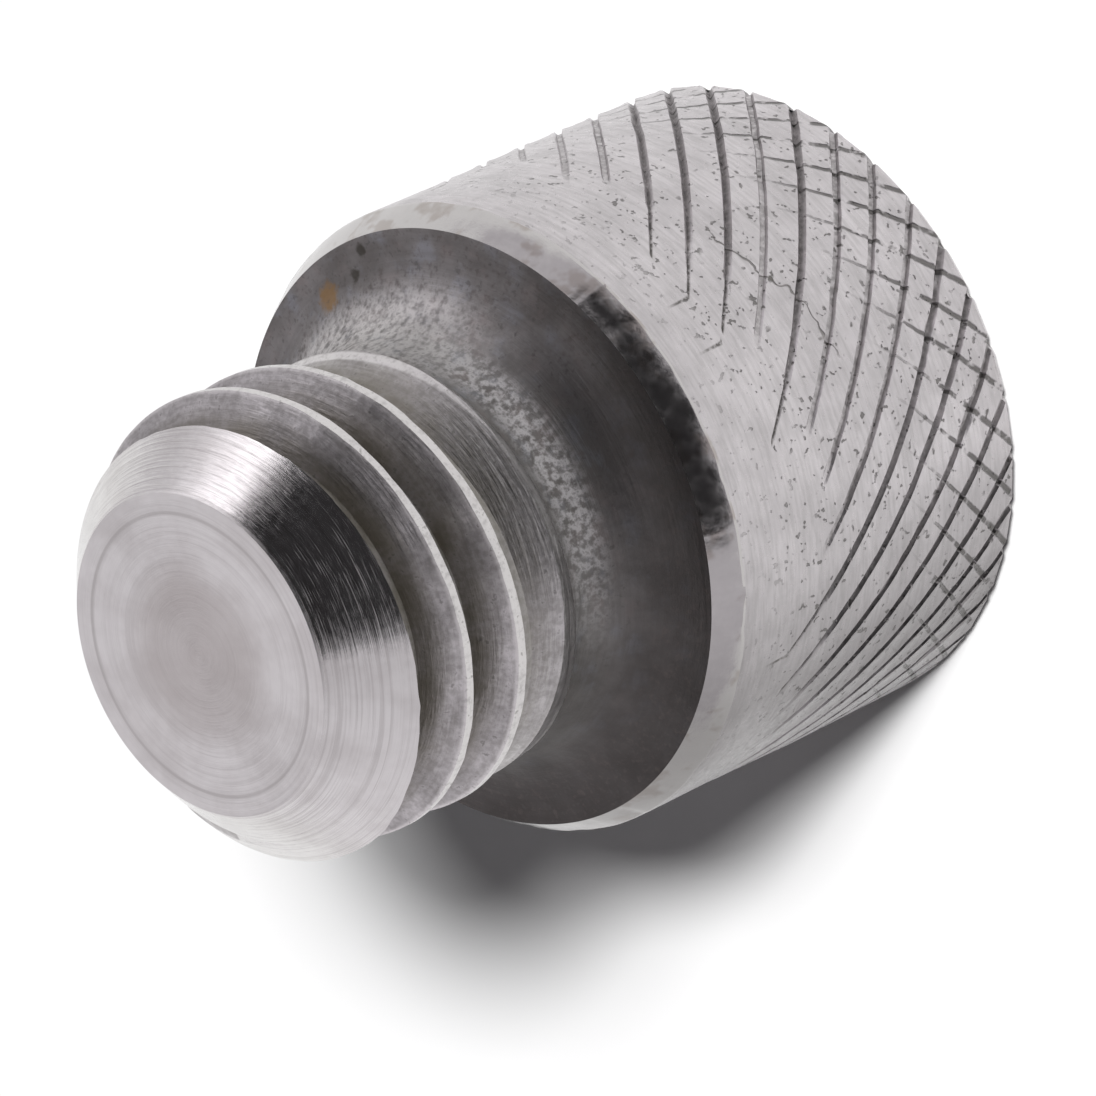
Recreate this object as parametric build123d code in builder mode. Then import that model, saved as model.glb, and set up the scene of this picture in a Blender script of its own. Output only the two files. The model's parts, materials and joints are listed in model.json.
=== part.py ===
from build123d import *
from math import atan, cos, degrees, radians, tan
import os

# Socket head cap screw, M8 x 1.25, turned from one bar of steel.
# It stands on the end of its head: the origin is the centre of the head's end
# face, and +Z runs along the axis to the tip of the thread. Sizes are in mm.

# Head: a plain cylinder under its knurl, with the hexagon socket in its end
head_diameter = 11.2
head_length = 7.2          # end face to the outer edge of the front bevel
end_chamfer = 0.22         # broken edge round the end face
bevel_length = 0.5         # front bevel, along the axis
bevel_inset = 0.3          # front bevel, across the axis

# Hexagon socket
socket_across_flats = 6.0
socket_depth = 4.4         # depth of the six flats
socket_drill_angle = 120.0
socket_mouth_rim = 0.19     # the countersink reaches this far past the corners
socket_mouth_angle = 90.0
socket_mouth_depth = 0.35

# Neck between the head and the thread
neck_drop = 0.4            # the neck lies this far below the thread's outside
neck_fillet = 1.6
shoulder_flat = 0.1        # least flat kept between the fillet and the front bevel
neck_length = 1.7          # shoulder to the foot of the last thread
last_crest_drop = 0.2      # the last crest is turned lower than the others
last_crest_step = 0.12     # rise from the neck to the last crest, along the axis
last_crest_taper = 1.0     # rise from the last crest to full diameter

# Thread
thread_diameter = 8.0
thread_pitch = 1.25
thread_depth = 0.7
thread_angle = 60.0
thread_crest = 0.16        # flat left on the crest
thread_turns = 3           # full-depth turns, counted down from the tip
run_out_turns = 0.75       # turns over which the groove fades out
thread_start_angle = 90.0  # where the groove meets the tip's plane, round from +X
shank_length = 6.7         # shoulder to the flat of the tip
tip_chamfer = 1.2          # 45 degrees

# What follows from them
head_radius = head_diameter / 2
shoulder_height = head_length + bevel_length
neck_top = shoulder_height + neck_length
last_crest_height = neck_top + last_crest_step
tip_height = shoulder_height + shank_length
thread_radius = thread_diameter / 2
neck_radius = thread_radius - neck_drop
last_crest_radius = thread_radius - last_crest_drop
shoulder_width = head_radius - bevel_inset - neck_radius
fillet_radius = min(neck_fillet, shoulder_width - shoulder_flat)
root_radius = thread_radius - thread_depth
flank_slope = tan(radians(thread_angle / 2))

# The groove's section, and the reach of the cutter past the surface
groove_over = 0.1          # kept short, so that neighbouring turns of the cutter stay apart
root_half = (thread_pitch - thread_crest) / 2 - thread_depth * flank_slope
mouth_half = root_half + (thread_depth + groove_over) * flank_slope
groove_foot = tip_height - thread_turns * thread_pitch
groove_turns = thread_turns + 1
run_out_foot = groove_foot - run_out_turns * thread_pitch
run_out_lap = 0.01         # turns by which the run-out reaches into the groove above it
run_out_clear = 0.05       # how far the groove's bottom leaves the surface at its end
run_out_rise = thread_depth + run_out_clear
run_out_slope = atan(run_out_rise / (run_out_turns * thread_pitch))

# The socket's cones
socket_over = 0.2
mouth_radius = socket_across_flats / 2 / cos(radians(30)) + socket_mouth_rim
mouth_slope = tan(radians(socket_mouth_angle / 2))
drill_point = socket_across_flats / 2 / tan(radians(socket_drill_angle / 2))

# The tool's path round the thread, at full depth, from the run-out to above the tip
with BuildPart() as groove:
    with BuildLine() as groove_path:
        Helix(
            pitch=thread_pitch,
            height=groove_turns * thread_pitch,
            radius=thread_radius,
            center=(0, 0, groove_foot),
        )
    with BuildSketch(Plane.XZ):
        with BuildLine():
            Polyline(
                (root_radius, groove_foot - root_half),
                (root_radius, groove_foot + root_half),
                (thread_radius + groove_over, groove_foot + mouth_half),
                (thread_radius + groove_over, groove_foot - mouth_half),
                close=True,
            )
        make_face()
    sweep(path=groove_path.line, is_frenet=True)

# Below it the tool draws out, so the groove fades over most of a turn. The path
# lies on a cone, where the helix counts its pitch along the slope.
with BuildPart() as run_out:
    with BuildLine() as run_out_path:
        Helix(
            pitch=thread_pitch / cos(run_out_slope),
            height=(run_out_turns + run_out_lap) * thread_pitch,
            radius=thread_radius + run_out_rise,
            center=(0, 0, run_out_foot),
            cone_angle=-degrees(run_out_slope),
        )
    with BuildSketch(Plane.XZ):
        with BuildLine():
            Polyline(
                (root_radius + run_out_rise, run_out_foot - root_half),
                (root_radius + run_out_rise, run_out_foot + root_half),
                (thread_radius + run_out_rise + groove_over, run_out_foot + mouth_half),
                (thread_radius + run_out_rise + groove_over, run_out_foot - mouth_half),
                close=True,
            )
        make_face()
    sweep(path=run_out_path.line, is_frenet=True)

with BuildPart() as screw:
    # The turned form: half of its section, spun about the axis
    with BuildSketch(Plane.XZ) as section:
        with BuildLine() as outline:
            head = Polyline(
                (0, 0),
                (head_radius - end_chamfer, 0),
                (head_radius, end_chamfer),
                (head_radius, head_length),
                (head_radius - bevel_inset, shoulder_height),
                (neck_radius + fillet_radius, shoulder_height),
            )
            fillet_arc = RadiusArc(
                head @ 1,
                (neck_radius, shoulder_height + fillet_radius),
                fillet_radius,
            )
            Polyline(
                fillet_arc @ 1,
                (neck_radius, neck_top),
                (last_crest_radius, last_crest_height),
                (thread_radius, last_crest_height + last_crest_taper),
                (thread_radius, tip_height - tip_chamfer),
                (thread_radius - tip_chamfer, tip_height),
                (0, tip_height),
                (0, 0),
            )
        make_face()
    revolve(axis=Axis.Z)

    # The thread: the right-hand groove and its run-out, turned to where they start
    add(groove.part.rotate(Axis.Z, thread_start_angle), mode=Mode.SUBTRACT)
    run_out_angle = thread_start_angle - 360 * run_out_turns
    add(run_out.part.rotate(Axis.Z, run_out_angle), mode=Mode.SUBTRACT)

    # The hexagon socket, with its drilled bottom and countersunk mouth
    with BuildSketch(Plane.XY):
        RegularPolygon(radius=socket_across_flats / 2, side_count=6, major_radius=False)
    extrude(amount=socket_depth, mode=Mode.SUBTRACT)
    with BuildSketch(Plane.XZ):
        with BuildLine():
            Polyline(
                (0, -socket_over),
                (mouth_radius + socket_over * mouth_slope, -socket_over),
                (mouth_radius - socket_mouth_depth * mouth_slope, socket_mouth_depth),
                (0, socket_mouth_depth),
                close=True,
            )
        make_face()
        with BuildLine():
            Polyline(
                (0, socket_depth - socket_over),
                (socket_across_flats / 2, socket_depth - socket_over),
                (socket_across_flats / 2, socket_depth),
                (0, socket_depth + drill_point),
                close=True,
            )
        make_face()
    revolve(axis=Axis.Z, mode=Mode.SUBTRACT)

screw.part.label = "screw"

os.makedirs("parts", exist_ok=True)
export_step(screw.part, "parts/screw.step")
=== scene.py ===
import json
import math
import random

import bmesh
import bpy
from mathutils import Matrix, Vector, noise

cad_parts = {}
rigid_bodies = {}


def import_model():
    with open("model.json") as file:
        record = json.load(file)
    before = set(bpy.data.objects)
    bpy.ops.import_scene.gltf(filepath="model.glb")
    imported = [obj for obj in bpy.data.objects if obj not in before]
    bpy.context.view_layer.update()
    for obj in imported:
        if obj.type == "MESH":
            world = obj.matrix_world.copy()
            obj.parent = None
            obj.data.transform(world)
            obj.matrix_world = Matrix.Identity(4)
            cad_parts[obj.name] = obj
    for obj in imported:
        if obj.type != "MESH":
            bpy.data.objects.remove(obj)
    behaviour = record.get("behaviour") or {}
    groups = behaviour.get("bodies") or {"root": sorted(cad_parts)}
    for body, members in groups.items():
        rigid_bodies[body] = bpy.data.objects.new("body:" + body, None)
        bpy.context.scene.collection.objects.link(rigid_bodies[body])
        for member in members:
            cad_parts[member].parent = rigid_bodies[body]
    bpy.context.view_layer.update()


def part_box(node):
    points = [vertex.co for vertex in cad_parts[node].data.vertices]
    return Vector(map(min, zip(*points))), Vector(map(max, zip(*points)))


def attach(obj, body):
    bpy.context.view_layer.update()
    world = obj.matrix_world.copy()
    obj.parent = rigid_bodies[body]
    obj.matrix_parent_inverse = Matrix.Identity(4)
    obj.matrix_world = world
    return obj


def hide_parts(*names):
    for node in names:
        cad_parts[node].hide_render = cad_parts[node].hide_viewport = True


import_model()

# --- Screw -------------------------------------------------------------------------------
# Turned from one bar of steel: a round head with a knurl rolled into most of its length,
# a hollow fillet down to a short neck, then three turns of M8 thread. The tip is chamfered
# and faced off, and a key's hexagon is sunk in the other end.

tip_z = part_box("screw")[1].z
head_r = 0.0056
shoulder_z = 0.0077
neck_r = 0.0036
fillet_r = 0.0016
thread_r = 0.004
pitch = 0.00125
chamfer_r = 0.0028
foot_start = 28
knurl_low = 0.00022
knurl_high = 0.005926
grooves = 37
pitch_angle = math.tau / grooves
knurl_start = math.radians(29.5)
column_places = (-0.5, -0.3, -0.17, -0.11, -0.06, 0.0, 0.06, 0.11, 0.17, 0.3)

# Half of the turned outline, drawn out point by point from the middle of the end face
bpy.ops.object.select_all(action="DESELECT")
bpy.ops.mesh.primitive_plane_add(size=0.001, location=(0, 0, 0))
screw = bpy.context.object
screw.name = "screw_body"
screw.data.name = "screw_body"
bpy.ops.object.mode_set(mode="EDIT")
bpy.ops.mesh.merge(type="CENTER")
outline = [
    (0.0042, 0.0),
    (0.00536, 0.0),
    (0.00548, 0.00005),
    (head_r, knurl_low),
    (head_r, knurl_high),
    (head_r, 0.0066),
    (head_r, 0.00718),
    (0.00558, 0.00723),
    (0.00544, 0.00747),
    (0.0053, shoulder_z),
    (neck_r, shoulder_z),
    (neck_r, 0.0094),
    (0.00378, 0.00949),
    (0.0038, 0.00954),
    (0.0039, 0.0101),
    (thread_r, 0.01052),
    (thread_r, 0.0132),
    (chamfer_r, tip_z),
    (0.0014, tip_z),
    (0.0, tip_z),
]
last = (0.0, 0.0)
for r, z in outline:
    step = (r - last[0], 0, z - last[1])
    bpy.ops.mesh.extrude_vertices_move(TRANSFORM_OT_translate={"value": step})
    last = (r, z)

# The corner between the shoulder and the neck is hollowed to a quarter round
bpy.ops.mesh.select_mode(type="VERT")
profile = bmesh.from_edit_mesh(screw.data)
for v in profile.verts:
    v.select = abs(v.co.x - neck_r) < 1e-5 and abs(v.co.z - shoulder_z) < 1e-5
profile.select_flush_mode()
bmesh.update_edit_mesh(screw.data)
bpy.ops.mesh.bevel(offset=fillet_r, segments=14, affect="VERTICES")

# Spun round the axis in ten columns to each groove of the knurl
bpy.ops.mesh.select_all(action="SELECT")
bpy.ops.mesh.spin(steps=10 * grooves, angle=math.tau, center=(0, 0, 0), axis=(0, 0, 1))
bpy.ops.mesh.select_all(action="SELECT")
bpy.ops.mesh.remove_doubles(threshold=1e-6)
bpy.ops.mesh.normals_make_consistent(inside=False)
bpy.ops.object.mode_set(mode="OBJECT")

# The columns are drawn together where the grooves will be
for v in screw.data.vertices:
    r = math.hypot(v.co.x, v.co.y)
    if r > 1e-5:
        column = round(math.atan2(v.co.y, v.co.x) / math.tau * 10 * grooves) % (10 * grooves)
        a = knurl_start + (column // 10 + column_places[column % 10]) * pitch_angle
        v.co.x = r * math.cos(a)
        v.co.y = r * math.sin(a)


def foot_rise(x, y):
    """How far the foot of the last crest has climbed at this place round the screw."""
    around = math.degrees(math.atan2(y, x)) - foot_start
    around = (around + 180) % 360 - 180
    if abs(around) > 120:
        around = math.copysign(120, around) * (180 - abs(around)) / 60
    return pitch * around / 360


# The foot of the last crest follows the screw's lead, and closes up again behind
for v in screw.data.vertices:
    if 0.0088 < v.co.z < 0.0096:
        share = min(1.0, (v.co.z - 0.0088) / 0.0006)
        v.co.z += share * (foot_rise(v.co.x, v.co.y) + 0.00002 * noise.noise(v.co * 2500))

# Thread groove: the tool's section carried up a screw path, then cut out of the body
path_start = 0.0097125
section = [(0.0033, -0.00014), (0.0033, 0.00014), (0.00406, 0.000577), (0.00406, -0.000577)]
bpy.ops.mesh.primitive_plane_add(size=0.001, location=(0, 0, 0))
tool = bpy.context.object
tool.name = "thread_tool"
for v, (r, z) in zip(tool.data.vertices, (section[0], section[3], section[1], section[2])):
    v.co = (-r, 0, path_start + z)
bpy.ops.object.mode_set(mode="EDIT")
bpy.ops.mesh.select_all(action="SELECT")
bpy.ops.mesh.delete(type="ONLY_FACE")
bpy.ops.object.mode_set(mode="OBJECT")
wind = tool.modifiers.new("wind", "SCREW")
wind.axis = "Z"
wind.angle = math.tau * 4.75
wind.screw_offset = pitch * 4.75
wind.steps = 475
wind.render_steps = 475
wind.use_merge_vertices = False
bpy.ops.object.modifier_apply(modifier="wind")

# The tool draws out over its first three quarters of a turn, and there its lower flank lies
# back towards the head; the crests it leaves are a little ragged
rng = random.Random(4)
for v in tool.data.vertices:
    r = math.hypot(v.co.x, v.co.y)
    a = math.atan2(v.co.y, v.co.x) - math.pi
    turn = a / math.tau
    while path_start + turn * pitch < v.co.z - pitch / 2:
        turn += 1
    path_z = path_start + turn * pitch
    mouth = r > 0.0037
    lower = v.co.z < path_z
    out = 0.00075 * max(0.0, 1 - turn / 0.75) + 0.0012 * max(0.0, turn - 3.1)
    ragged = noise.noise(Vector((turn * 18, 3.0 * lower, 0)))
    ragged += 0.6 * noise.noise(Vector((turn * 70, 5.0 * lower, 7)))
    if mouth:
        v.co.z += 0.00003 * ragged + 0.00001 * rng.uniform(-1, 1)
    else:
        v.co.z += 0.000012 * ragged
    if not lower and turn < 0.75:
        v.co.z += 0.5 * min(out, 0.0004)
    if lower:
        laid = min(1.0, max(0.0, (0.99 - turn) / 0.15))
        v.co.z -= laid * (0.0009 if mouth else -0.00006)
    new_r = r + out
    v.co.x *= new_r / r
    v.co.y *= new_r / r
bpy.ops.object.mode_set(mode="EDIT")
bpy.ops.mesh.select_mode(type="EDGE")
bpy.ops.mesh.select_all(action="DESELECT")
bpy.ops.mesh.select_non_manifold(extend=False)
bpy.ops.mesh.fill_holes(sides=4)
bpy.ops.mesh.select_all(action="SELECT")
bpy.ops.mesh.normals_make_consistent(inside=False)
bpy.ops.object.mode_set(mode="OBJECT")

# Hexagon socket, with its drill point and countersunk mouth
flat_r = 0.003
corner_r = flat_r / math.cos(math.radians(30))
bpy.ops.mesh.primitive_cylinder_add(vertices=6, radius=corner_r, depth=0.0054, location=(0, 0, 0.0017))
hexagon = bpy.context.object
hexagon.name = "hexagon_tool"
bpy.ops.object.transform_apply(location=True)
for v in hexagon.data.vertices:
    a = round(math.atan2(v.co.y, v.co.x) / (math.pi / 3) - 0.5) * math.pi / 3
    v.co.x = corner_r * math.cos(a)
    v.co.y = corner_r * math.sin(a)
bpy.ops.mesh.primitive_cone_add(
    vertices=48, radius1=flat_r, radius2=0, depth=0.001732, location=(0, 0, 0.005264)
)
drill = bpy.context.object
drill.name = "drill_tool"
bpy.ops.object.transform_apply(location=True)
bpy.ops.mesh.primitive_cone_add(
    vertices=48, radius1=0.003854, radius2=0.003304, depth=0.00055, location=(0, 0, 0.000075)
)
mouth_cone = bpy.context.object
mouth_cone.name = "mouth_tool"
bpy.ops.object.transform_apply(location=True)

for cutter in (tool, hexagon, drill, mouth_cone):
    bpy.ops.object.select_all(action="DESELECT")
    screw.select_set(True)
    bpy.context.view_layer.objects.active = screw
    cut = screw.modifiers.new("cut", "BOOLEAN")
    cut.operation = "DIFFERENCE"
    cut.solver = "EXACT"
    cut.object = cutter
    bpy.ops.object.modifier_apply(modifier="cut")
    bpy.data.objects.remove(cutter)

# The knurled band is parted from the rest and given its rows
bpy.ops.object.mode_set(mode="EDIT")
bpy.ops.mesh.select_mode(type="FACE")
bpy.ops.mesh.select_all(action="DESELECT")
faces = bmesh.from_edit_mesh(screw.data)
for f in faces.faces:
    middle = f.calc_center_median()
    outside = math.hypot(middle.x, middle.y) > 0.00555
    f.select = outside and knurl_low < middle.z < knurl_high
bmesh.update_edit_mesh(screw.data)
bpy.ops.mesh.split()
bpy.ops.mesh.select_mode(type="EDGE")
faces = bmesh.from_edit_mesh(screw.data)
band_edges = [e for e in faces.edges if e.select and abs(e.verts[0].co.z - e.verts[1].co.z) > 0.001]
bpy.ops.mesh.select_all(action="DESELECT")
for e in band_edges:
    e.select = True
bmesh.update_edit_mesh(screw.data)
bpy.ops.mesh.subdivide(number_cuts=87)
bpy.ops.mesh.select_linked()
bpy.ops.object.mode_set(mode="OBJECT")

# The wheel's teeth press a right-hand set of grooves at 45 degrees, each fading to a point
# a little short of the front, and push the lands between them up
front = [rng.uniform(-0.00022, 0.00006) for g in range(grooves)]
shift = [rng.uniform(-0.05, 0.05) for g in range(grooves)]
strength = [rng.uniform(0.8, 1.15) for g in range(grooves)]
press = screw.data.attributes.new("press", "FLOAT", "POINT")
for v in screw.data.vertices:
    r = math.hypot(v.co.x, v.co.y)
    if r < 0.00547 or v.co.z > knurl_high + 1e-6:
        continue
    place = (math.atan2(v.co.y, v.co.x) - knurl_start) / pitch_angle
    column = min(range(-1, 15), key=lambda c: abs((place % 1) - (column_places[c % 10] + (c // 10))))
    off = column_places[column % 10]
    g = round(place - off) % grooves
    turned = 6 * (knurl_high - max(v.co.z, knurl_low)) / (knurl_high - knurl_low)
    if not v.select:
        g = (g - 6) % grooves
        turned = 0
    z = max(v.co.z, knurl_low)
    along = (knurl_high - z + front[g]) / 0.0012
    reach = min(1.0, max(0.0, along))
    wander = noise.noise(Vector((g * 3.7, z * 2600, 1.5)))
    rough = noise.noise(Vector((g * 5.1, z * 9000, off * 9)))
    half_width = (0.085 + 0.035 * (1 - z / knurl_high) + 0.03 * wander) * (0.35 + 0.65 * reach)
    cut_here = max(0.0, 1 - (abs(off) / half_width) ** 1.5)
    depth = 0.00006 * strength[g] * min(1.0, 0.3 + 0.7 * reach) * (reach > 0) * (1 + 0.35 * rough)
    land = 0.00004 * min(1.0, max(0.0, (knurl_high - 0.0006 - z) / 0.002))
    lip = 0.000012 * (abs(off) > 0.1) * (abs(off) < 0.2) * reach
    fade = 1.0 if v.co.z > knurl_low - 1e-7 else 0.45
    press.data[v.index].value = cut_here * (reach > 0)
    new_r = r + fade * (land * (1 - cut_here) + lip - depth * cut_here + 0.000006 * rough)
    if v.co.z > knurl_high - 1e-6:
        new_r = r
    nudge = (shift[g] + 0.02 * wander) * (reach > 0) * min(1.0, along)
    a = knurl_start + (g + off + nudge + (turned if v.select else 6)) * pitch_angle
    v.co.x = new_r * math.cos(a)
    v.co.y = new_r * math.sin(a)

# The front bevel was knocked about in use, so its edges waver
for v in screw.data.vertices:
    if 0.0071 < v.co.z < 0.00768:
        r = math.hypot(v.co.x, v.co.y)
        dent = noise.noise(v.co * 1800) + 0.5 * noise.noise(v.co * 5200)
        v.co.z += 0.000035 * dent
        v.co.x *= 1 - 0.000012 * abs(dent) / r
        v.co.y *= 1 - 0.000012 * abs(dent) / r

bpy.ops.object.mode_set(mode="EDIT")
bpy.ops.mesh.select_all(action="SELECT")
bpy.ops.mesh.remove_doubles(threshold=1e-6)
bpy.ops.mesh.normals_make_consistent(inside=False)
bpy.ops.object.mode_set(mode="OBJECT")
bpy.ops.object.shade_smooth_by_angle(angle=math.radians(25))


def add_node(tree, kind, values, **settings):
    """A shader node with its inputs set or linked; gives back its first output."""
    node = tree.nodes.new(kind)
    for key, value in settings.items():
        setattr(node, key, value)
    for key, value in values.items():
        if isinstance(value, bpy.types.NodeSocket):
            tree.links.new(value, node.inputs[key])
        else:
            node.inputs[key].default_value = value
    return node.outputs[0]


def start_metal(name):
    """A new metal, with the point on it, its height, its angle round and its radius."""
    made = bpy.data.materials.new(name)
    made.use_nodes = True
    tree = made.node_tree
    coords = tree.nodes.new("ShaderNodeTexCoord")
    point = coords.outputs["Object"]
    split = tree.nodes.new("ShaderNodeSeparateXYZ")
    tree.links.new(point, split.inputs[0])
    x, y, z = split.outputs
    angle = add_node(tree, "ShaderNodeMath", {0: y, 1: x}, operation="ARCTAN2")
    xx = add_node(tree, "ShaderNodeMath", {0: x, 1: x}, operation="MULTIPLY")
    rr = add_node(tree, "ShaderNodeMath", {0: y, 1: y, 2: xx}, operation="MULTIPLY_ADD")
    radius = add_node(tree, "ShaderNodeMath", {0: rr, 1: 0.5}, operation="POWER")
    bsdf = tree.nodes["Principled BSDF"]
    bsdf.inputs["Metallic"].default_value = 1.0
    return made, tree, bsdf, point, z, angle, radius


def ramp(tree, value, low, high, to_low=0.0, to_high=1.0):
    """A smooth step of a value between two limits."""
    inputs = {"Value": value, "From Min": low, "From Max": high, "To Min": to_low, "To Max": to_high}
    return add_node(tree, "ShaderNodeMapRange", inputs, interpolation_type="SMOOTHSTEP")


def times(tree, a, b):
    """Two values multiplied."""
    return add_node(tree, "ShaderNodeMath", {0: a, 1: b}, operation="MULTIPLY")


def plus(tree, a, b):
    """Two values added."""
    return add_node(tree, "ShaderNodeMath", {0: a, 1: b}, operation="ADD")


def unsigned(tree, value):
    """A value without its sign."""
    return add_node(tree, "ShaderNodeMath", {0: value}, operation="ABSOLUTE")


def blend(tree, factor, a, b):
    """Two colours mixed."""
    node = tree.nodes.new("ShaderNodeMix")
    node.data_type = "RGBA"
    for key, value in ((0, factor), (6, a), (7, b)):
        if isinstance(value, bpy.types.NodeSocket):
            tree.links.new(value, node.inputs[key])
        else:
            node.inputs[key].default_value = value
    return node.outputs[2]


def speckle(tree, point, scale, detail=3.0, rough=0.6):
    """Fractal noise from 0 to 1."""
    inputs = {"Vector": point, "Scale": scale, "Detail": detail, "Roughness": rough}
    return add_node(tree, "ShaderNodeTexNoise", inputs)


def stretch(tree, point, scale):
    """The point with each axis scaled."""
    return add_node(tree, "ShaderNodeVectorMath", {0: point, 1: scale}, operation="MULTIPLY")


# Head: satin steel, with dirt in the knurl's grooves, the fine crossing lines of the second
# wheel over the rear half, small pits, and one hairline scratch
head_steel, tree, bsdf, point, z, angle, radius = start_metal("head_steel")
per_radian = grooves / math.tau
pressed = tree.nodes.new("ShaderNodeAttribute")
pressed.attribute_name = "press"
groove_dirt = pressed.outputs["Fac"]
grain = speckle(tree, point, 9000, 4.0)
patches = speckle(tree, point, 900, 3.0)
streaks = speckle(tree, stretch(tree, point, (1, 1, 9)), 1500, 3.0)
dirt_mask = times(tree, ramp(tree, groove_dirt, 0.05, 0.75), ramp(tree, grain, 0.35, 0.6, 0.35, 1.0))
cross_phase = times(tree, plus(tree, z, -0.00132), -per_radian / head_r)
cross_phase = plus(tree, times(tree, angle, per_radian), cross_phase)
cross_phase = plus(tree, cross_phase, 100 - math.radians(32.5) * per_radian)
waver = ramp(tree, speckle(tree, point, 2500, 2.0), 0.0, 1.0, -0.03, 0.03)
cross_phase = plus(tree, cross_phase, waver)
cross_gap = add_node(tree, "ShaderNodeMath", {0: cross_phase, 1: 0.5}, operation="PINGPONG")
cross_width = ramp(tree, z, 0.0004, 0.003, 0.09, 0.035)
cross_line = add_node(tree, "ShaderNodeMath", {0: cross_gap, 1: cross_width}, operation="DIVIDE")
cross_line = ramp(tree, cross_line, 0.45, 1.15, 1.0, 0.0)
broken = ramp(tree, speckle(tree, point, 3000, 2.0), 0.36, 0.5)
cross_line = times(tree, times(tree, cross_line, broken), ramp(tree, z, 0.0015, 0.0032, 1.0, 0.0))
pits = ramp(tree, speckle(tree, point, 8500, 1.5, 0.5), 0.635, 0.68)
pits = times(tree, pits, ramp(tree, speckle(tree, point, 2200, 2.0), 0.42, 0.56))
pits = times(tree, pits, ramp(tree, z, 0.0058, 0.0066, 1.0, 0.35))
scratch_path = ramp(tree, speckle(tree, point, 1500, 2.0), 0.0, 1.0, -0.0003, 0.0003)
scratch_path = plus(tree, plus(tree, z, scratch_path), times(tree, angle, -0.00148))
scratch_path = plus(tree, scratch_path, -0.0036 + 0.00148 * math.radians(28.1))
scratch = ramp(tree, unsigned(tree, scratch_path), 0.00001, 0.00003, 1.0, 0.0)
scratch = times(tree, scratch, ramp(tree, angle, math.radians(27), math.radians(31)))
scratch = times(tree, scratch, ramp(tree, angle, math.radians(57), math.radians(60), 1.0, 0.0))
colour = blend(tree, ramp(tree, patches, 0.3, 0.7), (0.5, 0.476, 0.484, 1), (0.6, 0.572, 0.582, 1))
colour = blend(tree, ramp(tree, streaks, 0.35, 0.7, 0.0, 0.35), colour, (0.3, 0.29, 0.285, 1))
# Painted shade: the head's colour is darkened on one side, most between about -0.6 and +0.2 rad round and
# fading out towards -2.2 rad
painted_shade_side = times(tree, ramp(tree, angle, -0.6, 0.2, 0.62, 0.0), ramp(tree, angle, -2.2, -1.3))
colour = blend(tree, painted_shade_side, colour, (0.09, 0.084, 0.081, 1))
near_front = ramp(tree, z, 0.0042, 0.0058, 0.42, 0.9)
colour = blend(tree, times(tree, dirt_mask, near_front), colour, (0.1, 0.094, 0.084, 1))
colour = blend(tree, times(tree, cross_line, 0.8), colour, (0.07, 0.066, 0.06, 1))
colour = blend(tree, times(tree, pits, 0.75), colour, (0.1, 0.095, 0.088, 1))
colour = blend(tree, times(tree, scratch, 0.7), colour, (0.14, 0.13, 0.12, 1))
tree.links.new(colour, bsdf.inputs["Base Color"])
sheen = ramp(tree, grain, 0.3, 0.7, 0.26, 0.38)
sheen = plus(tree, sheen, times(tree, dirt_mask, 0.25))
tree.links.new(sheen, bsdf.inputs["Roughness"])
height = times(tree, cross_line, -1.0)
height = plus(tree, height, times(tree, pits, -0.8))
height = plus(tree, height, times(tree, scratch, -0.5))
height = plus(tree, height, times(tree, grain, 0.16))
height = plus(tree, height, times(tree, streaks, 0.12))
relief = add_node(tree, "ShaderNodeBump", {"Height": height, "Distance": 0.00003, "Strength": 1.0})
tree.links.new(relief, bsdf.inputs["Normal"])

# Front bevel: bright-turned and worn, with a brownish stain
bevel_steel, tree, bsdf, point, z, angle, radius = start_metal("bevel_steel")
grain = speckle(tree, point, 5000, 4.0)
stain = ramp(tree, speckle(tree, point, 1300, 3.0), 0.52, 0.62)
colour = blend(tree, grain, (0.46, 0.445, 0.44, 1), (0.54, 0.522, 0.515, 1))
colour = blend(tree, times(tree, stain, 0.45), colour, (0.27, 0.22, 0.19, 1))
# Painted shade: the bevel's colour is darkened on one side, most between about -0.6 and 0 rad round and
# fading out towards -2.2 rad
painted_shade_side = times(tree, ramp(tree, angle, -0.6, 0.0, 0.55, 0.0), ramp(tree, angle, -2.2, -1.3))
colour = blend(tree, painted_shade_side, colour, (0.09, 0.084, 0.081, 1))
tree.links.new(colour, bsdf.inputs["Base Color"])
tree.links.new(ramp(tree, grain, 0.3, 0.7, 0.1, 0.2), bsdf.inputs["Roughness"])
relief = add_node(tree, "ShaderNodeBump", {"Height": grain, "Distance": 0.000004, "Strength": 0.6})
tree.links.new(relief, bsdf.inputs["Normal"])

# Shoulder, fillet and neck: duller, mottled bluish and pink, with the tool's fine rings,
# a rust stain and some dark spots
shoulder_steel, tree, bsdf, point, z, angle, radius = start_metal("shoulder_steel")
grain = speckle(tree, point, 7000, 4.0)
patches = speckle(tree, point, 800, 4.0)
tints = speckle(tree, stretch(tree, point, (1, 1, 1.7)), 1700, 3.0)
outline_place = plus(tree, radius, times(tree, z, -1.0))
swept = times(tree, unsigned(tree, angle), 0.0003)
sweep_point = add_node(tree, "ShaderNodeCombineXYZ", {0: outline_place, 1: swept})
rings = speckle(tree, sweep_point, 9000, 3.0)
colour = blend(tree, ramp(tree, patches, 0.25, 0.75), (0.17, 0.16, 0.153, 1), (0.27, 0.26, 0.257, 1))
colour = blend(tree, ramp(tree, tints, 0.52, 0.72, 0.0, 0.35), colour, (0.33, 0.35, 0.4, 1))
colour = blend(tree, ramp(tree, tints, 0.48, 0.3, 0.0, 0.25), colour, (0.33, 0.27, 0.26, 1))
colour = blend(tree, ramp(tree, rings, 0.4, 0.65, 0.0, 0.3), colour, (0.16, 0.15, 0.145, 1))
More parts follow.
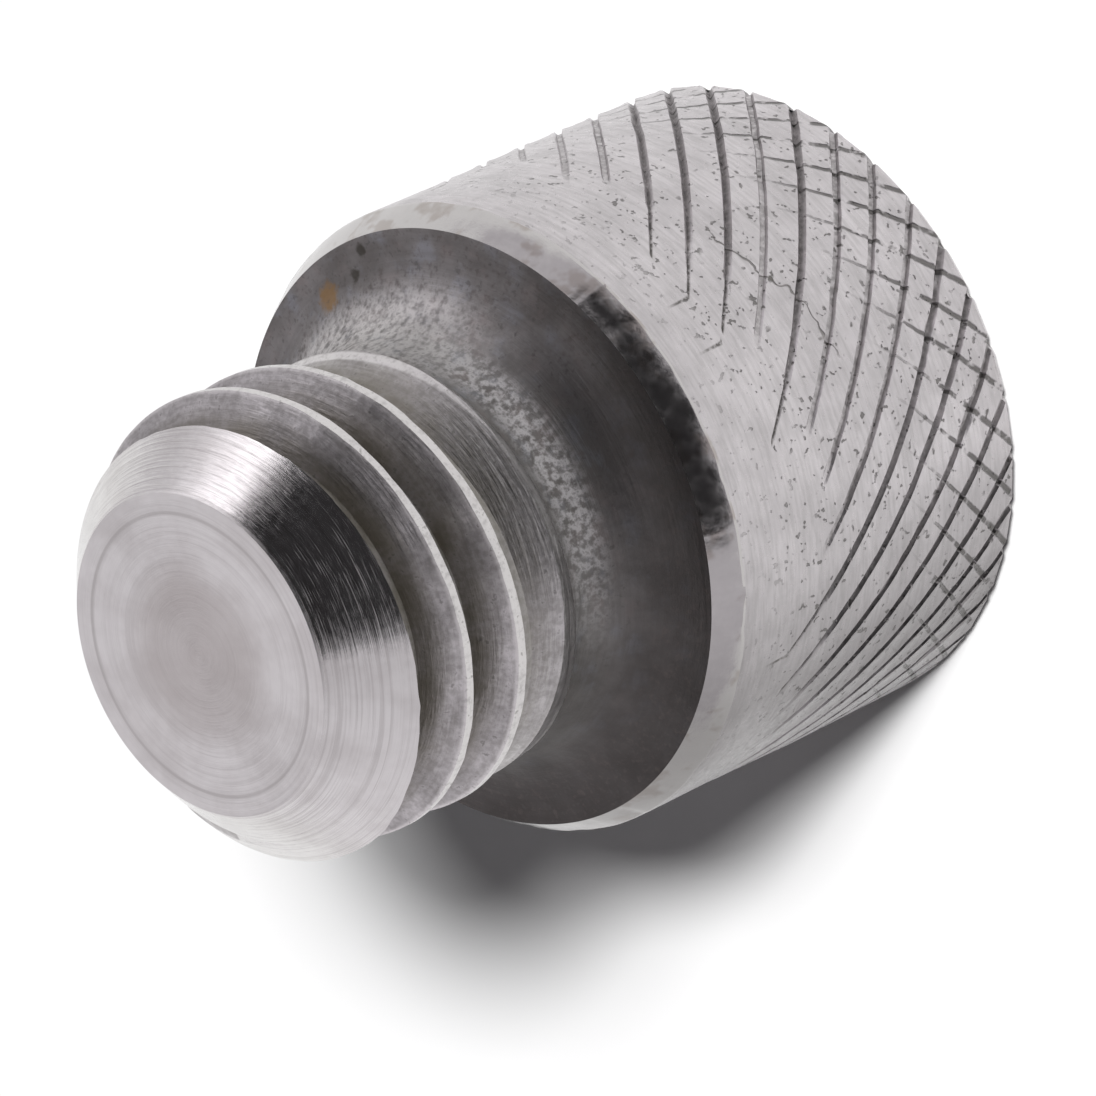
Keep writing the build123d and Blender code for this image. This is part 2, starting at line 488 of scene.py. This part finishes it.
# Painted highlight: a pale mottled band round the fillet where it meets the neck, on the side from about
# -0.5 to +1.6 rad round, standing for a reflection
highlight_facing = times(tree, ramp(tree, angle, -0.5, 0.4), ramp(tree, angle, 1.0, 1.6, 1.0, 0.0))
painted_highlight_band = times(tree, ramp(tree, z, 0.00835, 0.0087), ramp(tree, z, 0.009, 0.0094, 1.0, 0.0))
painted_highlight_band = times(tree, times(tree, painted_highlight_band, highlight_facing), ramp(tree, grain, 0.38, 0.66))
colour = blend(tree, times(tree, painted_highlight_band, 0.85), colour, (0.68, 0.66, 0.67, 1))
# Painted shade: the shoulder's colour is darkened on one side, growing from about +0.9 rad round to three
# quarters below -1 rad, and fading out between -2 and -3.1 rad
painted_shade_side = times(tree, ramp(tree, angle, -1.0, 0.9, 0.75, 0.0), ramp(tree, angle, -3.1, -2.0))
colour = blend(tree, painted_shade_side, colour, (0.06, 0.055, 0.052, 1))
# Partly a darker finish and partly painted shade: the shoulder next to its flat is darkened on the side
# below about 0.6 rad round, fading out by 1.4 rad
dark_front_finish_and_shade = times(tree, ramp(tree, z, 0.0077, 0.0085, 0.7, 0.0), ramp(tree, angle, 0.6, 1.4, 1.0, 0.0))
colour = blend(tree, dark_front_finish_and_shade, colour, (0.07, 0.064, 0.061, 1))
# Partly a paler finish and partly painted light: a pale mottled sector of the shoulder between about 1.0
# and 3.1 rad round
pale_finish_and_painted_light = times(tree, ramp(tree, angle, 1.0, 1.9), ramp(tree, angle, 2.6, 3.1, 1.0, 0.0))
pale_finish_and_painted_light = times(tree, pale_finish_and_painted_light, times(tree, ramp(tree, z, 0.00775, 0.0082), ramp(tree, grain, 0.25, 0.7)))
colour = blend(tree, pale_finish_and_painted_light, colour, (0.68, 0.66, 0.65, 1))
specks = times(tree, ramp(tree, grain, 0.48, 0.3, 0.0, 0.5), ramp(tree, z, 0.0082, 0.0078))
colour = blend(tree, specks, colour, (0.12, 0.105, 0.098, 1))
for spot, size, tint in (
    ((-0.00285, 0.00368, 0.0078), 0.00034, (0.3, 0.19, 0.09, 1)),
    ((-0.00208, 0.00463, 0.0077), 0.00015, (0.07, 0.065, 0.055, 1)),
    ((-0.0022, 0.0042, 0.00778), 0.00014, (0.07, 0.065, 0.055, 1)),
):
    gap = tree.nodes.new("ShaderNodeVectorMath")
    gap.operation = "DISTANCE"
    tree.links.new(point, gap.inputs[0])
    gap.inputs[1].default_value = spot
    edge = plus(tree, gap.outputs["Value"], times(tree, grain, size))
    near = ramp(tree, edge, 0.9 * size, 1.5 * size, 0.85, 0.0)
    colour = blend(tree, near, colour, tint)
colour = blend(tree, times(tree, ramp(tree, grain, 0.58, 0.7), 0.5), colour, (0.1, 0.095, 0.09, 1))
tree.links.new(colour, bsdf.inputs["Base Color"])
tree.links.new(ramp(tree, patches, 0.3, 0.7, 0.58, 0.44), bsdf.inputs["Roughness"])
height = plus(tree, times(tree, grain, 0.35), times(tree, rings, 0.5))
height = plus(tree, height, times(tree, tints, 0.8))
relief = add_node(tree, "ShaderNodeBump", {"Height": height, "Distance": 0.00002, "Strength": 0.8})
tree.links.new(relief, bsdf.inputs["Normal"])

# Thread: grey flanks with olive dirt towards the roots, and crests rubbed bright
thread_steel, tree, bsdf, point, z, angle, radius = start_metal("thread_steel")
grain = speckle(tree, point, 8000, 4.0)
patches = speckle(tree, point, 1100, 4.0)
swept = times(tree, unsigned(tree, angle), 0.0004)
sweep_point = add_node(tree, "ShaderNodeCombineXYZ", {0: radius, 1: z, 2: swept})
rings = speckle(tree, sweep_point, 8000, 3.0)
deep = ramp(tree, radius, 0.00342, 0.00385, 1.0, 0.0)
colour = blend(tree, ramp(tree, patches, 0.3, 0.7), (0.38, 0.364, 0.365, 1), (0.58, 0.558, 0.563, 1))
colour = blend(tree, ramp(tree, rings, 0.42, 0.66, 0.0, 0.3), colour, (0.2, 0.19, 0.175, 1))
colour = blend(tree, ramp(tree, grain, 0.35, 0.65, 0.35, 0.0), colour, (0.13, 0.122, 0.11, 1))
dirt_mask = times(tree, deep, ramp(tree, patches, 0.3, 0.62, 0.3, 0.85))
colour = blend(tree, dirt_mask, colour, (0.16, 0.147, 0.122, 1))
crest = ramp(tree, radius, 0.00393, 0.00399)
foot = plus(tree, angle, -math.radians(foot_start))
foot = plus(tree, z, times(tree, foot, -pitch / math.tau))
foot = unsigned(tree, plus(tree, foot, -0.00958))
last_crest = times(tree, ramp(tree, foot, 0.00005, 0.00011, 1.0, 0.0), ramp(tree, radius, 0.0036, 0.0037))
crest = plus(tree, crest, last_crest)
crest = times(tree, crest, ramp(tree, grain, 0.3, 0.55, 0.5, 1.0))
colour = blend(tree, crest, colour, (0.62, 0.6, 0.595, 1))
colour = blend(tree, times(tree, ramp(tree, grain, 0.6, 0.72), 0.5), colour, (0.1, 0.095, 0.085, 1))
tree.links.new(colour, bsdf.inputs["Base Color"])
tree.links.new(ramp(tree, patches, 0.3, 0.7, 0.42, 0.3), bsdf.inputs["Roughness"])
height = plus(tree, times(tree, grain, 0.3), times(tree, rings, 0.8))
relief = add_node(tree, "ShaderNodeBump", {"Height": height, "Distance": 0.00002, "Strength": 0.8})
tree.links.new(relief, bsdf.inputs["Normal"])

# Tip: the chamfer is bright from the tool, in fine rings; the flat is softer, with turning
# marks about a darker and warmer middle
tip_steel, tree, bsdf, point, z, angle, radius = start_metal("tip_steel")
grain = speckle(tree, point, 7000, 4.0)
patches = speckle(tree, point, 1000, 3.0)
swept = times(tree, unsigned(tree, angle), 0.00004)
sweep_point = add_node(tree, "ShaderNodeCombineXYZ", {0: radius, 1: times(tree, z, 0.6), 2: swept})
rings = speckle(tree, sweep_point, 18000, 4.0, 0.7)
on_flat = ramp(tree, z, 0.01434, 0.01439)
uneven = plus(tree, radius, ramp(tree, patches, 0.0, 1.0, -0.00015, 0.00015))
middle = times(tree, ramp(tree, uneven, 0.001, 0.0019, 1.0, 0.0), on_flat)
colour = blend(tree, ramp(tree, patches, 0.3, 0.7), (0.6, 0.58, 0.57, 1), (0.7, 0.685, 0.675, 1))
ring_marks = times(tree, ramp(tree, rings, 0.45, 0.65, 0.0, 0.4), ramp(tree, on_flat, 0.0, 1.0, 1.0, 0.55))
colour = blend(tree, ring_marks, colour, (0.38, 0.36, 0.35, 1))
colour = blend(tree, times(tree, middle, 0.55), colour, (0.42, 0.385, 0.37, 1))
ring_gap = unsigned(tree, plus(tree, radius, -0.00245))
edge_ring = times(tree, ramp(tree, ring_gap, 0.00001, 0.00005, 1.0, 0.0), on_flat)
colour = blend(tree, times(tree, edge_ring, 0.45), colour, (0.35, 0.33, 0.32, 1))
tree.links.new(colour, bsdf.inputs["Base Color"])
sheen = plus(tree, times(tree, on_flat, 0.2), ramp(tree, grain, 0.3, 0.7, 0.1, 0.18))
tree.links.new(sheen, bsdf.inputs["Roughness"])
height = times(tree, rings, ramp(tree, on_flat, 0.0, 1.0, 1.0, 0.55))
height = plus(tree, height, times(tree, grain, 0.1))
relief = add_node(tree, "ShaderNodeBump", {"Height": height, "Distance": 0.000012, "Strength": 1.0})
tree.links.new(relief, bsdf.inputs["Normal"])
bsdf.inputs["Anisotropic"].default_value = 0.5
around = add_node(tree, "ShaderNodeTangent", {}, direction_type="RADIAL", axis="Z")
tree.links.new(around, bsdf.inputs["Tangent"])

# Socket and end face: broached and faced, plain
socket_steel, tree, bsdf, point, z, angle, radius = start_metal("socket_steel")
grain = speckle(tree, point, 4000, 4.0)
colour = blend(tree, grain, (0.3, 0.29, 0.28, 1), (0.5, 0.49, 0.48, 1))
tree.links.new(colour, bsdf.inputs["Base Color"])
tree.links.new(ramp(tree, grain, 0.3, 0.7, 0.3, 0.45), bsdf.inputs["Roughness"])
relief = add_node(tree, "ShaderNodeBump", {"Height": grain, "Distance": 0.00001, "Strength": 0.5})
tree.links.new(relief, bsdf.inputs["Normal"])

# Each face takes its finish from where it lies; the numbers are the finishes' places here
for steel in (head_steel, bevel_steel, shoulder_steel, thread_steel, tip_steel, socket_steel):
    screw.data.materials.append(steel)
for f in screw.data.polygons:
    r = math.hypot(f.center.x, f.center.y)
    z = f.center.z
    on_chamfer = abs(z + r - chamfer_r - tip_z) < 0.00003 and f.normal.z > 0.5
    if z > tip_z - 1e-5 or on_chamfer:
        f.material_index = 4
    elif z - foot_rise(f.center.x, f.center.y) > 0.0094:
        f.material_index = 3
    elif z > 0.00769 and r < 0.0053:
        f.material_index = 2
    elif z > 0.00715 and r > 0.0052:
        f.material_index = 1
    elif r < 0.0054:
        f.material_index = 5

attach(screw, "root")
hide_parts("screw")

# --- Floor -------------------------------------------------------------------------------
# A sheet of plain white paper, so wide that it fills the view

bpy.ops.mesh.primitive_plane_add(size=2.0, location=(0, 0, 0))
floor = bpy.context.object
floor.name = "floor"
paper = bpy.data.materials.new("paper")
paper.use_nodes = True
paper_bsdf = paper.node_tree.nodes["Principled BSDF"]
paper_bsdf.inputs["Base Color"].default_value = (0.9, 0.9, 0.9, 1)
paper_bsdf.inputs["Roughness"].default_value = 1.0
paper_bsdf.inputs["Specular IOR Level"].default_value = 0.0
floor.data.materials.append(paper)

# --- Light -------------------------------------------------------------------------------
# Two soft lamps, close together, light the floor and cast the shadow. The metal is lit by the
# room: pale walls, a bright window to the right, and the dark end of the room behind the
# camera.

for name, tilt, turn, energy, spread in (
    ("key_light", 45, 135, 2.85, 10),
    ("second_light", 41, 142, 1.75, 11),
):
    bpy.ops.object.light_add(type="SUN", rotation=(math.radians(tilt), 0, math.radians(turn)))
    lamp = bpy.context.object
    lamp.name = name
    lamp.data.energy = energy
    lamp.data.angle = math.radians(spread)
    lamp.visible_glossy = False

world = bpy.data.worlds.new("room")
bpy.context.scene.world = world
world.use_nodes = True
tree = world.node_tree
background = tree.nodes["Background"]
direction = tree.nodes.new("ShaderNodeTexCoord").outputs["Generated"]
turn_inputs = {"Vector": direction, "Angle": math.radians(-28.5)}
turned_round = add_node(tree, "ShaderNodeVectorRotate", turn_inputs, rotation_type="Z_AXIS")
split = tree.nodes.new("ShaderNodeSeparateXYZ")
tree.links.new(turned_round, split.inputs[0])
across, side, up = split.outputs
bearing = add_node(tree, "ShaderNodeMath", {0: side, 1: across}, operation="ARCTAN2")
bearing = times(tree, bearing, 180 / math.pi)
rise = times(tree, add_node(tree, "ShaderNodeMath", {0: up}, operation="ARCSINE"), 180 / math.pi)
dark_edge = plus(tree, bearing, times(tree, rise, -1.0))
dark = times(tree, ramp(tree, bearing, -38, -32), ramp(tree, dark_edge, 37, 43, 1.0, 0.0))
dark = times(tree, dark, ramp(tree, rise, 6, 10))
dark = times(tree, dark, ramp(tree, rise, 66, 80, 1.0, 0.0))
window = times(tree, ramp(tree, bearing, 70, 76), ramp(tree, bearing, 84, 128, 1.0, 0.0))
window = times(tree, window, ramp(tree, rise, 8, 24))
window = times(tree, window, ramp(tree, rise, 36, 52, 1.0, 0.0))
walls = ramp(tree, bearing, -150, -40, 0.92, 0.72)
room = plus(tree, walls, times(tree, window, 1.3))
room = times(tree, room, ramp(tree, dark, 0.0, 1.0, 1.0, 0.05))
paths = tree.nodes.new("ShaderNodeLightPath")
glossy = paths.outputs["Is Glossy Ray"]
diffuse = paths.outputs["Is Diffuse Ray"]
level = plus(tree, times(tree, room, glossy), times(tree, diffuse, 0.08))
level = plus(tree, level, paths.outputs["Is Camera Ray"])
tree.links.new(level, background.inputs["Strength"])
background.inputs["Color"].default_value = (0.985, 0.955, 1, 1)

# --- Camera ------------------------------------------------------------------------------
# A long lens, from above and a little to the side, rolled over

bpy.ops.object.camera_add(
    location=(0.092264, 0.049265, 0.102736),
    rotation=(math.radians(-24.6759), math.radians(41.7729), math.radians(-6.0402)),
)
camera = bpy.context.object
camera.name = "camera"
camera.data.lens = 274.65
camera.data.sensor_width = 36
camera.data.clip_start = 0.01
camera.data.clip_end = 10
bpy.context.scene.camera = camera
bpy.context.scene.view_settings.view_transform = "Standard"
